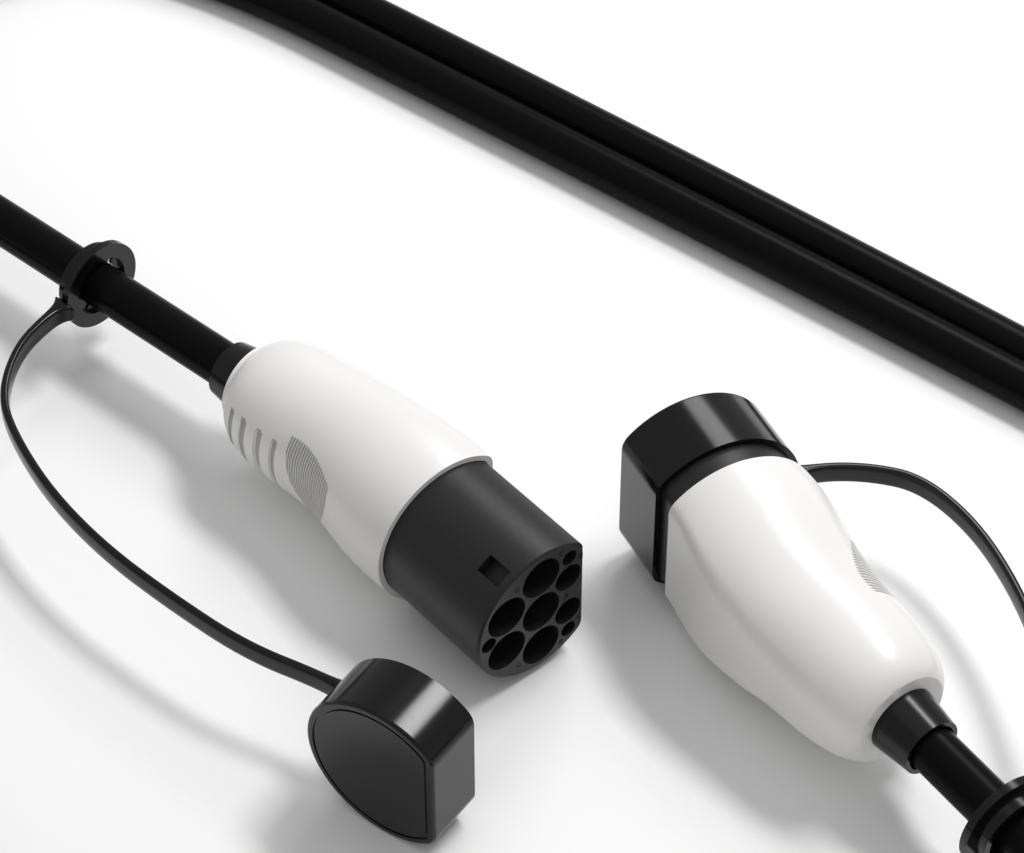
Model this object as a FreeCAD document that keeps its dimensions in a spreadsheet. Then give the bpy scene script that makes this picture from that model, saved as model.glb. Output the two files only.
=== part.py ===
"""Type 2 charging cable: a plug for the charge point, a connector for the car, and the cable between them.

Frame: +X is the plug's nose axis, +Y the normal of the flat on its nose, +Z up, floor at z = 0.
The origin is under the middle of the two ends and their caps. Millimetres.
Each end is built in a frame of its own: x forward along the nose from the rim of the handle,
y towards the flat of the nose, z up.
"""
import math
import os

import FreeCAD
import Part
from FreeCAD import Placement, Rotation, Vector
from Sketcher import Constraint

doc = FreeCAD.newDocument("charging_cable")
sheet = doc.addObject("Spreadsheet::Sheet", "sizes")

# Sizes that both ends share.
SHARED = {
    "contact_pitch": 17.0,
    "power_row": 15.1,
    "signal_row": 12.0,
    "power_well_r": 8.05,
    "signal_well_r": 5.55,
    "drain_r": 3.1,
    "drain_depth": 8.0,
    "drain_side": 18.0,
    "drain_row": 12.4,
    "drain_low": 22.9,
    "lock_behind": 8.1,
    "lock_long": 10.1,
    "lock_wide": 6.7,
    "lock_deep": 4.5,
    "lock_turn": 30.0,
    "nose_wall": 2.6,
    "nose_floor": 5.0,
    "nose_edge": 0.8,
    "spigot": 16.0,
    "seat_gap": 0.15,
    "seal_seat": 1.1,
    "seal_wide": 3.0,
    "seal_at": 8.0,
    "power_pin_r": 3.0,
    "signal_pin_r": 1.5,
    "sleeve_wall": 1.5,
    "sleeve_gap": 0.1,
    "hole_gap": 0.1,
    "collar_extra": 1.6,
    "collar_long": 3.0,
    "barrel_behind": 7.0,
    "barrel_bore_deep": 8.0,
    "power_wire_r": 2.2,
    "signal_wire_r": 1.3,
    "core_wall": 0.8,
    "carrier_thick": 9.0,
    "carrier_gap": 0.3,
    "earth_lead": 3.0,
    "screw_r": 1.5,
    "screw_gap": 0.15,
    "screw_head_r": 2.7,
    "screw_head": 2.0,
    "screw_bite": 10.0,
    "screw_row": 11.4,
    "screw_side": 16.6,
    "screw_low": 21.0,
    "bend": 8.5,
    "handle_wall": 2.6,
    "cable_r": 8.4,
    "grip_gap": 0.05,
    "bore_gap": 0.7,
    "nut_r": 12.5,
    "nut_end_r": 10.75,
    "thread_r": 10.6,
    "thread_long": 10.0,
    "thread_gap": 0.1,
    "seal_long": 6.0,
    "clamp_half": 11.0,
    "clamp_long": 14.0,
    "clamp_split": 0.3,
    "ear_half": 16.6,
    "ear_thick": 5.0,
    "clamp_screw_side": 13.9,
    "jacket_past": 3.0,
    "core_bundle": 0.306,
    "core_lead": 6.0,
    "cap_wall": 2.0,
    "cap_gap": 0.35,
    "cap_edge": 1.2,
    "panel_inset": 2.6,
    "panel_groove": 0.9,
    "panel_deep": 0.5,
    "ring_r": 17.3,
    "ring_thick": 3.0,
    "ring_hole_r": 11.6,
    "ring_collar_r": 14.0,
    "ring_collar_long": 5.0,
    "petal_thick": 1.2,
    "petal_slot": 2.0,
    "petal_root": 0.4,
    "petal_count": 8,
    "ring_gap": 0.25,
    "strap_high": 5.0,
    "strap_thick": 3.0,
    "strap_inset": 0.5,
    "strap_lead": 9.0,
    "cut_past": 1.0,
    "groove_r": 1.5,
    "groove_deep": 1.3,
    "groove_up": 50.0,
    "groove_down": 25.0,
}

# Sizes of each end. The sections of the handle are stations behind its rim, each with the radius
# of its round side, the distance of its flat side and the radius of the corners between them.
ENDS = {
    "plug": {
        "nose_r": 27.5,
        "nose_flat": 19.0,
        "nose_corner": 5.0,
        "reach": 50.0,
        "well_deep": 40.0,
        "tip_below": 10.0,
        "pivot": 46.4,
        "cap_deep": 22.5,
        "ring_behind": 69.3,
        "straight": 130.0,
        "nut_long": 16.5,
    },
    "connector": {
        "nose_r": 30.8,
        "nose_flat": 21.9,
        "nose_corner": 5.5,
        "reach": 32.0,
        "well_deep": 27.0,
        "tip_below": 8.0,
        "pivot": 34.0,
        "cap_deep": 25.3,
        "ring_behind": 50.5,
        "straight": 101.0,
        "nut_long": 16.5,
    },
}

# name, station behind the rim, round radius, flat distance, corner radius
SECTIONS = {
    "plug": [
        ("rim", 0.0, 29.7, 21.3, 6.5),
        ("swell", 8.0, 30.0, 21.7, 7.0),
        ("shoulder", 27.0, 28.2, 21.9, 9.5),
        ("waist", 50.0, 25.1, 21.6, 14.0),
        ("grip", 72.0, 23.7, 21.9, 16.0),
        ("turn", 84.0, 22.7, 21.3, 16.5),
        ("heel", 93.0, 19.9, 19.2, 15.5),
        ("neck", 100.0, 16.0, 15.7, 13.0),
        ("mouth", 108.0, 14.3, 14.1, 12.0),
    ],
    "connector": [
        ("rim", 0.0, 33.0, 24.2, 7.0),
        ("swell", 13.0, 33.5, 25.0, 8.0),
        ("shoulder", 31.0, 31.5, 25.4, 11.0),
        ("waist", 48.0, 28.0, 24.8, 15.0),
        ("grip", 64.0, 26.2, 24.6, 18.0),
        ("turn", 76.0, 25.8, 24.4, 18.5),
        ("heel", 86.0, 24.4, 23.3, 18.5),
        ("neck", 94.0, 21.3, 20.6, 17.0),
        ("mouth", 98.2, 17.2, 16.9, 14.5),
    ],
}

# Where the ends lie: the middle of the handle's rim and the heading of the nose, and the same for
# the cap that hangs loose, by the middle of its closed face.
PLACES = {
    "plug_x": -17.5,
    "plug_y": -20.0,
    "plug_z": 30.0,
    "plug_heading": 0.0,
    "connector_x": 48.6,
    "connector_y": 50.9,
    "connector_z": 33.6,
    "connector_heading": 166.3,
    "loose_cap_x": 51.2,
    "loose_cap_y": -104.6,
    "loose_cap_z": 30.0,
    "loose_cap_heading": -75.6,
}

# Corner points of the straps' middle lines, between their leads at the ring and at the cap.
STRAPS = {
    "plug": [
        (-182.5, -82.0),
        (-166.4, -99.8),
        (-147.9, -108.4),
        (-116.3, -115.6),
        (-82.5, -118.8),
        (-50.0, -115.4),
        (-18.0, -106.0),
    ],
    "connector": [
        (193.5, 62.0),
        (178.0, 77.5),
        (156.0, 92.0),
        (130.0, 106.0),
        (102.0, 115.5),
        (76.0, 116.5),
        (58.7, 109.5),
    ],
}

# Corner points of the cable's middle line between the straight stretches at its two ends.
ROUTE = [
    (-353.0, -64.5, 29.6),
    (-417.2, -18.7, 21.0),
    (-431.5, 58.8, 11.0),
    (-388.1, 124.4, 8.4),
    (-239.5, 156.7, 8.4),
    (-37.5, 197.5, 8.4),
    (102.5, 222.0, 8.4),
    (246.7, 238.9, 8.4),
    (319.7, 181.9, 8.4),
    (329.4, 89.8, 8.4),
    (224.5, -60.0, 8.4),
    (132.5, -155.0, 8.4),
    (42.5, -221.0, 8.4),
    (-57.5, -232.0, 8.4),
    (-147.5, -175.0, 8.4),
    (-252.5, -124.0, 8.4),
    (-388.2, -30.1, 8.4),
    (-405.3, 47.2, 8.4),
    (-362.4, 113.4, 8.4),
    (-182.5, 151.0, 8.4),
    (12.5, 190.8, 8.4),
    (117.5, 210.0, 8.4),
    (245.6, 225.1, 8.4),
    (308.5, 168.5, 12.5),
    (308.5, 83.9, 22.8),
]

# Stations behind the rim and radii of the handle at its four grip grooves.
GRIP_GROOVES = {
    "plug": [(70.0, 23.8), (77.0, 23.4), (84.0, 22.7), (91.0, 20.8)],
    "connector": [(63.0, 26.3), (70.0, 26.0), (77.0, 25.7), (84.0, 24.8)],
}


def fill_sheet():
    rows = dict(SHARED)
    for end, values in ENDS.items():
        rows.update({f"{end}_{name}": value for name, value in values.items()})
        for name, station, round_r, flat, corner in SECTIONS[end]:
            rows[f"{end}_{name}_at"] = station
            rows[f"{end}_{name}_round"] = round_r
            rows[f"{end}_{name}_flat"] = flat
            rows[f"{end}_{name}_corner"] = corner
    rows.update(PLACES)
    for row, (alias, value) in enumerate(rows.items(), start=1):
        sheet.set(f"A{row}", alias)
        sheet.set(f"B{row}", str(value))
        sheet.setAlias(f"B{row}", alias)
    doc.recompute()


def ref(alias):
    return f"sizes.{alias}"


def number(owner, expression):
    return float(owner.evalExpression(expression))


def size(expression):
    return number(sheet, expression.replace("sizes.", ""))


# Frames of the ends: each piece is placed by expressions of its end's place, heading and bend.

def rear_point(end, forward):
    """x and y, in the end's frame, of a point on the rear axis, ahead of the handle's mouth."""
    behind = f"({ref(f'{end}_mouth_at')} - {ref(f'{end}_pivot')} - ({forward}))"
    bend = f"{ref('bend')} * 1deg"
    return f"-{ref(f'{end}_pivot')} - {behind} * cos({bend})", f"-{behind} * sin({bend})"


def place(piece, end, x="0", y="0", z="0", turn="0"):
    """Put a piece at a point of its end's frame, turned about the upright axis of that frame."""
    heading = f"({ref(f'{end}_heading')} * 1deg)"
    along = f"({x}) * cos({heading}) - ({y}) * sin({heading})"
    aside = f"({x}) * sin({heading}) + ({y}) * cos({heading})"
    piece.setExpression("Placement.Base.x", f"{ref(f'{end}_x')} + {along}")
    piece.setExpression("Placement.Base.y", f"{ref(f'{end}_y')} + {aside}")
    piece.setExpression("Placement.Base.z", f"{ref(f'{end}_z')} + ({z})")
    piece.setExpression("Placement.Rotation.Angle", f"{ref(f'{end}_heading')} + {turn}")


def place_on_rear(piece, end, forward):
    x, y = rear_point(end, forward)
    place(piece, end, x, y, turn=ref("bend"))


# Drawing helpers.

def new_body(label):
    body = doc.addObject("PartDesign::Body", label)
    body.Label = label
    return body


def origin_part(body, role):
    return next(part for part in body.Origin.OriginFeatures if part.Role == role)


def sketch_on(body, name, role="YZ_Plane", shift=("0", "0", "0"), turn="0", axis=Vector(0, 1, 0)):
    """A sketch on an origin plane of the body, shifted in the sketch's own directions and turned."""
    sketch = body.newObject("Sketcher::SketchObject", f"{body.Label}_{name}")
    sketch.AttachmentSupport = [(origin_part(body, role), "")]
    sketch.MapMode = "FlatFace"
    sketch.AttachmentOffset = Placement(Vector(), Rotation(axis, 1.0))
    for direction, amount in zip("xyz", shift):
        sketch.setExpression(f"AttachmentOffset.Base.{direction}", amount)
    sketch.setExpression("AttachmentOffset.Rotation.Angle", turn)
    return sketch


def across(body, name, x):
    """A sketch square to the x axis of the body; its own x and y are the body's y and z."""
    return sketch_on(body, name, shift=("0", "0", x))


def bind(sketch, constraint, name, expression):
    index = sketch.addConstraint(constraint)
    sketch.renameConstraint(index, name)
    sketch.setExpression(f"Constraints.{name}", expression)


def add_circle(sketch, radius, x="0", y="0"):
    """A circle whose radius and centre follow the sheet."""
    r, cx, cy = (number(sketch, value) for value in (radius, x, y))
    g = sketch.addGeometry(Part.Circle(Vector(cx, cy, 0), Vector(0, 0, 1), r))
    bind(sketch, Constraint("Radius", g, r), f"radius_{g}", radius)
    bind(sketch, Constraint("DistanceX", -1, 1, g, 3, cx), f"across_{g}", x)
    bind(sketch, Constraint("DistanceY", -1, 1, g, 3, cy), f"up_{g}", y)


def add_outline(sketch, points):
    """A closed outline of straight lines through points whose x and y are expressions."""
    spots = [Vector(number(sketch, x), number(sketch, y), 0) for x, y in points]
    count = len(points)
    lines = [sketch.addGeometry(Part.LineSegment(spots[i], spots[(i + 1) % count])) for i in range(count)]
    for i, line in enumerate(lines):
        sketch.addConstraint(Constraint("Coincident", line, 2, lines[(i + 1) % count], 1))
        bind(sketch, Constraint("DistanceX", -1, 1, line, 1, spots[i].x), f"across_{line}", points[i][0])
        bind(sketch, Constraint("DistanceY", -1, 1, line, 1, spots[i].y), f"up_{line}", points[i][1])


def add_box(sketch, west, east, south, north):
    add_outline(sketch, [(west, south), (east, south), (east, north), (west, north)])


def add_nose_outline(sketch, round_r, flat, corner):
    """The outline of the nose: a circle about the origin with one flat side and rounded corners."""
    big, side, small = (number(sketch, value) for value in (round_r, flat, corner))
    high = math.sqrt((big - small) ** 2 - (side - small) ** 2)
    turn = math.atan2(high, side - small)
    normal = Vector(0, 0, 1)
    upper_circle = Part.Circle(Vector(side - small, high, 0), normal, small)
    lower_circle = Part.Circle(Vector(side - small, -high, 0), normal, small)
    line = sketch.addGeometry(Part.LineSegment(Vector(side, -high, 0), Vector(side, high, 0)))
    upper = sketch.addGeometry(Part.ArcOfCircle(upper_circle, 0, turn))
    main = sketch.addGeometry(Part.ArcOfCircle(Part.Circle(Vector(), normal, big), turn, 2 * math.pi - turn))
    lower = sketch.addGeometry(Part.ArcOfCircle(lower_circle, -turn, 0))
    for first, second in ((line, upper), (upper, main), (main, lower), (lower, line)):
        sketch.addConstraint(Constraint("Tangent", first, 2, second, 1))
    sketch.addConstraint(Constraint("Coincident", main, 3, -1, 1))
    sketch.addConstraint(Constraint("Equal", upper, lower))
    sketch.addConstraint(Constraint("Vertical", line))
    bind(sketch, Constraint("Radius", main, big), f"round_{line}", round_r)
    bind(sketch, Constraint("Radius", upper, small), f"corner_{line}", corner)
    bind(sketch, Constraint("DistanceX", -1, 1, line, 1, side), f"flat_{line}", flat)


def add_nose_ring(sketch, end, grow):
    """The nose's outline, grown all round by an expression."""
    names = ("nose_r", "nose_flat", "nose_corner")
    add_nose_outline(sketch, *(f"{ref(f'{end}_{name}')} + {grow}" for name in names))


# Solid features.

def pad(body, sketch, length):
    feature = body.newObject("PartDesign::Pad", f"{sketch.Name}_pad")
    feature.Profile = sketch
    feature.setExpression("Length", length)
    doc.recompute()


def cut_check(body, before, name):
    doc.recompute()
    if body.Shape.Volume > before - 1e-3:
        raise RuntimeError(f"{name} removes nothing from {body.Label}")


def pocket(body, sketch, length, along=False):
    """A cut against the sketch's normal, or along it."""
    before = body.Shape.Volume
    feature = body.newObject("PartDesign::Pocket", f"{sketch.Name}_pocket")
    feature.Profile = sketch
    feature.Reversed = along
    feature.setExpression("Length", length)
    cut_check(body, before, sketch.Name)
    return feature


def turned(body, points):
    """A piece of revolution about the body's x axis, from its profile in x and radius."""
    sketch = sketch_on(body, "profile", role="XY_Plane")
    add_outline(sketch, points)
    feature = body.newObject("PartDesign::Revolution", f"{sketch.Name}_turned")
    feature.Profile = sketch
    feature.ReferenceAxis = (origin_part(body, "X_Axis"), [""])
    feature.Angle = 360.0
    doc.recompute()


def loft(body, kind, sketches):
    feature = body.newObject(f"PartDesign::{kind}", f"{sketches[0].Name}_loft")
    feature.Profile = sketches[0]
    feature.Sections = sketches[1:]
    doc.recompute()


def dress(body, kind, wanted, amount):
    """A fillet or chamfer of the edges that the test picks."""
    base = body.Tip
    names = [f"Edge{i}" for i, edge in enumerate(body.Shape.Edges, start=1) if wanted(edge)]
    feature = body.newObject(f"PartDesign::{kind}", f"{base.Name}_{kind.lower()}")
    feature.Base = (base, names)
    feature.setExpression("Radius" if kind == "Fillet" else "Size", amount)
    doc.recompute()


def level_with(x):
    """A test for edges that lie in the plane at x of the body's frame."""
    def test(edge):
        points = edge.discretize(4)
        return all(abs(point.x - x) < 1e-4 for point in points)
    return test


# Places of the contacts, drains and screws, seen from the front with the flat of the nose at +y.

PITCH = ref("contact_pitch")
HALF_PITCH = f"{PITCH} / 2"

CONTACTS = {
    "l1": ("0", PITCH),
    "l2": (f"-{ref('power_row')}", HALF_PITCH),
    "l3": (f"-{ref('power_row')}", f"-{HALF_PITCH}"),
    "n": ("0", f"-{PITCH}"),
    "pe": ("0", "0"),
    "cp": (ref("signal_row"), f"-{HALF_PITCH}"),
    "pp": (ref("signal_row"), HALF_PITCH),
}

DRAINS = [
    (ref("drain_row"), ref("drain_side")),
    (ref("drain_row"), f"-{ref('drain_side')}"),
    (f"-{ref('drain_low')}", "0"),
]

CARRIER_SCREWS = [
    (ref("screw_row"), ref("screw_side")),
    (ref("screw_row"), f"-{ref('screw_side')}"),
    (f"-{ref('screw_low')}", "0"),
]


def grade(contact):
    return "signal" if contact in ("cp", "pp") else "power"


def front_r(end, contact):
    """The radius of a contact where it stands in its well: a pin in the plug, a sleeve on the other end."""
    pin = ref(f"{grade(contact)}_pin_r")
    return pin if end == "plug" else f"{pin} + {ref('sleeve_gap')} + {ref('sleeve_wall')}"


def floor_front(end):
    return f"({ref(f'{end}_reach')} - {ref(f'{end}_well_deep')})"


def floor_rear(end):
    return f"({floor_front(end)} - {ref('nose_floor')})"


def carrier_rear(end):
    return f"({floor_rear(end)} - {ref('collar_long')} - {ref('carrier_thick')})"


def barrel_end(end):
    return f"({carrier_rear(end)} - {ref('barrel_behind')})"


def ledge(end):
    """How far the inside of the handle's closed rear stands ahead of its mouth."""
    return f"({ref(f'{end}_mouth_at')} - {ref(f'{end}_turn_at')})"


# The pieces of an end.

def cut_lock(body, end):
    """The recess for the socket's locking bolt, square to the round side of the nose."""
    turn = f"{ref('lock_turn')} * 1deg"
    radius = ref(f"{end}_nose_r")
    middle = f"{ref(f'{end}_reach')} - {ref('lock_behind')}"
    half_long, half_wide = f"{ref('lock_long')} / 2", f"{ref('lock_wide')} / 2"
    out = ("0", f"-{radius} * sin({turn})", f"{radius} * cos({turn})")
    lock = sketch_on(body, "lock", "XY_Plane", shift=out, turn=ref("lock_turn"), axis=Vector(1, 0, 0))
    add_box(lock, f"{middle} - {half_long}", f"{middle} + {half_long}", f"-{half_wide}", half_wide)
    pocket(body, lock, ref("lock_deep"))


def make_nose(end):
    """The contact housing: wells in front, a floor for the contacts, a cup for their carrier behind."""
    body = new_body(f"{end}_nose")
    reach, rear = ref(f"{end}_reach"), f"-{ref('spigot')}"
    outline = across(body, "outline", rear)
    add_nose_ring(outline, end, "0")
    pad(body, outline, f"{reach} + {ref('spigot')}")
    dress(body, "Chamfer", level_with(size(reach)), ref("nose_edge"))
    wells = across(body, "wells", reach)
    for contact, (y, z) in CONTACTS.items():
        add_circle(wells, ref(f"{grade(contact)}_well_r"), y, z)
    pocket(body, wells, ref(f"{end}_well_deep"))
    drains = across(body, "drains", reach)
    for y, z in DRAINS:
        add_circle(drains, ref("drain_r"), y, z)
    pocket(body, drains, ref("drain_depth"))
    holes = across(body, "holes", floor_front(end))
    for contact, (y, z) in CONTACTS.items():
        add_circle(holes, f"{front_r(end, contact)} + {ref('hole_gap')}", y, z)
    pocket(body, holes, ref("nose_floor"))
    cup = across(body, "cup", rear)
    add_nose_ring(cup, end, f"-{ref('nose_wall')}")
    pocket(body, cup, f"{ref('spigot')} + {floor_rear(end)}", along=True)
    screws = across(body, "screw_holes", f"{floor_rear(end)} + {ref('screw_bite')}")
    for y, z in CARRIER_SCREWS:
        add_circle(screws, ref("screw_r"), y, z)
    pocket(body, screws, ref("screw_bite"))
    seat = across(body, "seal_seat", f"-{ref('seal_at')}")
    add_nose_ring(seat, end, ref("cut_past"))
    add_nose_ring(seat, end, f"-{ref('seal_seat')}")
    pocket(body, seat, ref("seal_wide"))
    if end == "plug":
        cut_lock(body, end)
    place(body, end)


def make_nose_seal(end):
    body = new_body(f"{end}_nose_seal")
    outline = across(body, "outline", f"-{ref('seal_at')} - {ref('seal_wide')}")
    add_nose_ring(outline, end, ref("seat_gap"))
    add_nose_ring(outline, end, f"-{ref('seal_seat')}")
    pad(body, outline, ref("seal_wide"))
    place(body, end)


def make_contact(end, contact):
    """A pin or sleeve with a collar behind the floor of the nose and a barrel for its wire."""
    body = new_body(f"{end}_contact_{contact}")
    front = front_r(end, contact)
    tip = f"{ref(f'{end}_reach')} - {ref(f'{end}_tip_below')}"
    if end == "plug" and contact == "pe":
        tip = f"{tip} + {ref('earth_lead')}"
    collar_rear = f"{floor_rear(end)} - {ref('collar_long')}"
    collar = f"{front} + {ref('collar_extra')}"
    wire = f"{ref(f'{grade(contact)}_wire_r')} - {ref('core_wall')}"
    bore_start = f"{barrel_end(end)} + {ref('barrel_bore_deep')}"
    profile = [
        (barrel_end(end), wire),
        (barrel_end(end), front),
        (collar_rear, front),
        (collar_rear, collar),
        (floor_rear(end), collar),
        (floor_rear(end), front),
    ]
    if end == "plug":
        profile += [(f"{tip} - {front} / 2", front), (tip, f"{front} / 2"), (tip, "0")]
    else:
        inner = f"{ref(f'{grade(contact)}_pin_r')} + {ref('sleeve_gap')}"
        profile += [(tip, front), (tip, inner), (floor_front(end), inner), (floor_front(end), "0")]
    profile += [(bore_start, "0"), (bore_start, wire)]
    turned(body, profile)
    y, z = CONTACTS[contact]
    place(body, end, "0", y, z)


def make_carrier(end):
    """The plate that holds the collars of the contacts against the floor of the nose."""
    body = new_body(f"{end}_contact_carrier")
    plate = across(body, "plate", carrier_rear(end))
    add_nose_ring(plate, end, f"-{ref('nose_wall')} - {ref('carrier_gap')}")
    for contact, (y, z) in CONTACTS.items():
        add_circle(plate, f"{front_r(end, contact)} + {ref('hole_gap')}", y, z)
    for y, z in CARRIER_SCREWS:
        add_circle(plate, f"{ref('screw_r')} + {ref('screw_gap')}", y, z)
    pad(body, plate, ref("carrier_thick"))
    place(body, end)


def make_carrier_screws(end):
    body = new_body(f"{end}_carrier_screws")
    heads = across(body, "heads", f"{carrier_rear(end)} - {ref('screw_head')}")
    shanks = across(body, "shanks", carrier_rear(end))
    for y, z in CARRIER_SCREWS:
        add_circle(heads, ref("screw_head_r"), y, z)
        add_circle(shanks, ref("screw_r"), y, z)
    pad(body, heads, ref("screw_head"))
    pad(body, shanks, f"{ref('carrier_thick')} + {ref('collar_long')} + {ref('screw_bite')}")
    place(body, end)


def handle_section(body, end, name, inset):
    """The outline of the handle on its bent middle line, drawn in by the inset."""
    at, pivot = ref(f"{end}_{name}_at"), ref(f"{end}_pivot")
    behind = f"max({at} - {pivot}; 0)"
    bend = f"{ref('bend')} * 1deg"
    sketch = sketch_on(
        body,
        f"{name}_{'inner' if inset != '0' else 'outer'}",
        shift=(f"-{behind} * sin({bend})", "0", f"-min({at}; {pivot}) - {behind} * cos({bend})"),
        turn=f"{ref('bend')} * min(max({at} / {pivot} - 0.5; 0); 1)",
    )
    sizes_here = (f"{ref(f'{end}_{name}_{part}')} - {inset}" for part in ("round", "flat", "corner"))
    add_nose_outline(sketch, *sizes_here)
    return sketch


def make_handle(end):
    """The one-piece handle: a bent hollow shell with a seat for the nose and a closed, bored rear."""
    body = new_body(f"{end}_handle")
    names = [row[0] for row in SECTIONS[end]]
    hollow = names[: names.index("turn") + 1]
    loft(body, "AdditiveLoft", [handle_section(body, end, name, "0") for name in names])
    loft(body, "SubtractiveLoft", [handle_section(body, end, name, ref("handle_wall")) for name in hollow])
    seat = across(body, "seat", "0")
    add_nose_ring(seat, end, ref("seat_gap"))
    pocket(body, seat, f"{ref('spigot')} + {ref('seat_gap')}")
    mouth_x, mouth_y = rear_point(end, "0")
    thread = sketch_on(body, "thread", shift=(mouth_y, "0", mouth_x), turn=ref("bend"))
    add_circle(thread, f"{ref('thread_r')} + {ref('thread_gap')}")
    pocket(body, thread, f"{ref('thread_long')} + {ref('seal_long')}", along=True)
    through = sketch_on(body, "through", shift=(mouth_y, "0", mouth_x), turn=ref("bend"))
    add_circle(through, f"{ref('cable_r')} + {ref('bore_gap')}")
    pocket(body, through, f"{ledge(end)} + {ref('cut_past')}", along=True)
    at_mouth = (mouth_x, mouth_y, "0")
    grooves = sketch_on(body, "grooves", "XY_Plane", shift=at_mouth, turn=ref("bend"), axis=Vector(0, 0, 1))
    for at, radius in GRIP_GROOVES[end]:
        forward = f"{ref(f'{end}_mouth_at')} - {at}"
        add_circle(grooves, ref("groove_r"), forward, f"{ref('groove_deep')} - {radius} - {ref('groove_r')}")
    before = body.Shape.Volume
    groove = body.newObject("PartDesign::Groove", f"{end}_handle_grip")
    groove.Profile = grooves
    groove.ReferenceAxis = (grooves, ["H_Axis"])
    groove.Type = "TwoAngles"
    groove.setExpression("Angle", ref("groove_up"))
    groove.setExpression("Angle2", ref("groove_down"))
    cut_check(body, before, "grip")
    place(body, end)


def make_gland(end):
    """The screwed gland nut and, ahead of its thread, the rubber seal that it presses on the cable."""
    body = new_body(f"{end}_gland_nut")
    bore = f"{ref('cable_r')} + {ref('bore_gap')}"
    turned(
        body,
        [
            (f"-{ref(f'{end}_nut_long')}", bore),
            (f"-{ref(f'{end}_nut_long')}", ref("nut_end_r")),
            ("0", ref("nut_r")),
            ("0", ref("thread_r")),
            (ref("thread_long"), ref("thread_r")),
            (ref("thread_long"), bore),
        ],
    )
    place_on_rear(body, end, "0")
    seal = new_body(f"{end}_gland_seal")
    ring = across(seal, "ring", "0")
    add_circle(ring, ref("thread_r"))
    add_circle(ring, f"{ref('cable_r')} + {ref('grip_gap')}")
    pad(seal, ring, ref("seal_long"))
    place_on_rear(seal, end, ref("thread_long"))


def make_clamp(end):
    """The split clamp inside the rear of the handle, whose two screws grip the cable's jacket."""
    for half, side in (("upper", 1), ("lower", -1)):
        body = new_body(f"{end}_clamp_{half}")
        block = across(body, "block", "0")
        sign = "" if side > 0 else "-"
        low, shoulder, top = (f"{sign}{ref(name)}" for name in ("clamp_split", "ear_thick", "clamp_half"))
        inner, outer = ref("clamp_half"), ref("ear_half")
        add_outline(
            block,
            [
                (low, f"-{outer}"),
                (low, outer),
                (shoulder, outer),
                (shoulder, inner),
                (top, inner),
                (top, f"-{inner}"),
                (shoulder, f"-{inner}"),
                (shoulder, f"-{outer}"),
            ],
        )
        pad(body, block, ref("clamp_long"))
        bore = across(body, "bore", ref("clamp_long"))
        add_circle(bore, f"{ref('cable_r')} + {ref('grip_gap')}")
        pocket(body, bore, ref("clamp_long"))
        holes = sketch_on(body, "holes", role="XZ_Plane", shift=("0", "0", f"-{ref('ear_thick')}"))
        for sign_z in ("", "-"):
            spot = (f"{ref('clamp_long')} / 2", f"{sign_z}{ref('clamp_screw_side')}")
            add_circle(holes, f"{ref('screw_r')} + {ref('screw_gap')}", *spot)
        pocket(body, holes, f"2 * {ref('ear_thick')}", along=True)
        place_on_rear(body, end, ledge(end))
    body = new_body(f"{end}_clamp_screws")
    ear_face = f"-{ref('ear_thick')}"
    heads = sketch_on(body, "heads", "XZ_Plane", shift=("0", "0", f"{ear_face} - {ref('screw_head')}"))
    shanks = sketch_on(body, "shanks", "XZ_Plane", shift=("0", "0", ear_face))
    for sign_z in ("", "-"):
        spot = (f"{ref('clamp_long')} / 2", f"{sign_z}{ref('clamp_screw_side')}")
        add_circle(heads, ref("screw_head_r"), *spot)
        add_circle(shanks, ref("screw_r"), *spot)
    pad(body, heads, ref("screw_head"))
    pad(body, shanks, f"2 * {ref('ear_thick')}")
    place_on_rear(body, end, ledge(end))


def cap_spot(end):
    """The frame and the x and y of the middle of a cap's open rim."""
    deep = ref(f"{end}_cap_deep")
    if end == "plug":
        return "loose_cap", f"-{deep}", "0"
    return end, f"{ref('connector_reach')} + {ref('cap_gap')} + {ref('cap_wall')} - {deep}", "0"


def make_cap(end):
    """The dust cap: a cup of the nose's outline with a clearance, and a panel line on its closed face."""
    body = new_body(f"{end}_cap")
    deep = ref(f"{end}_cap_deep")
    outline = across(body, "outline", "0")
    add_nose_ring(outline, end, f"{ref('cap_gap')} + {ref('cap_wall')}")
    pad(body, outline, deep)
    dress(body, "Fillet", level_with(size(deep)), ref("cap_edge"))
    cup = across(body, "cup", "0")
    add_nose_ring(cup, end, ref("cap_gap"))
    pocket(body, cup, f"{deep} - {ref('cap_wall')}", along=True)
    panel = across(body, "panel", deep)
    edge = f"{ref('cap_gap')} + {ref('cap_wall')} - {ref('panel_inset')}"
    add_nose_ring(panel, end, edge)
    add_nose_ring(panel, end, f"{edge} - {ref('panel_groove')}")
    pocket(body, panel, ref("panel_deep"))
    place(body, *cap_spot(end))


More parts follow.
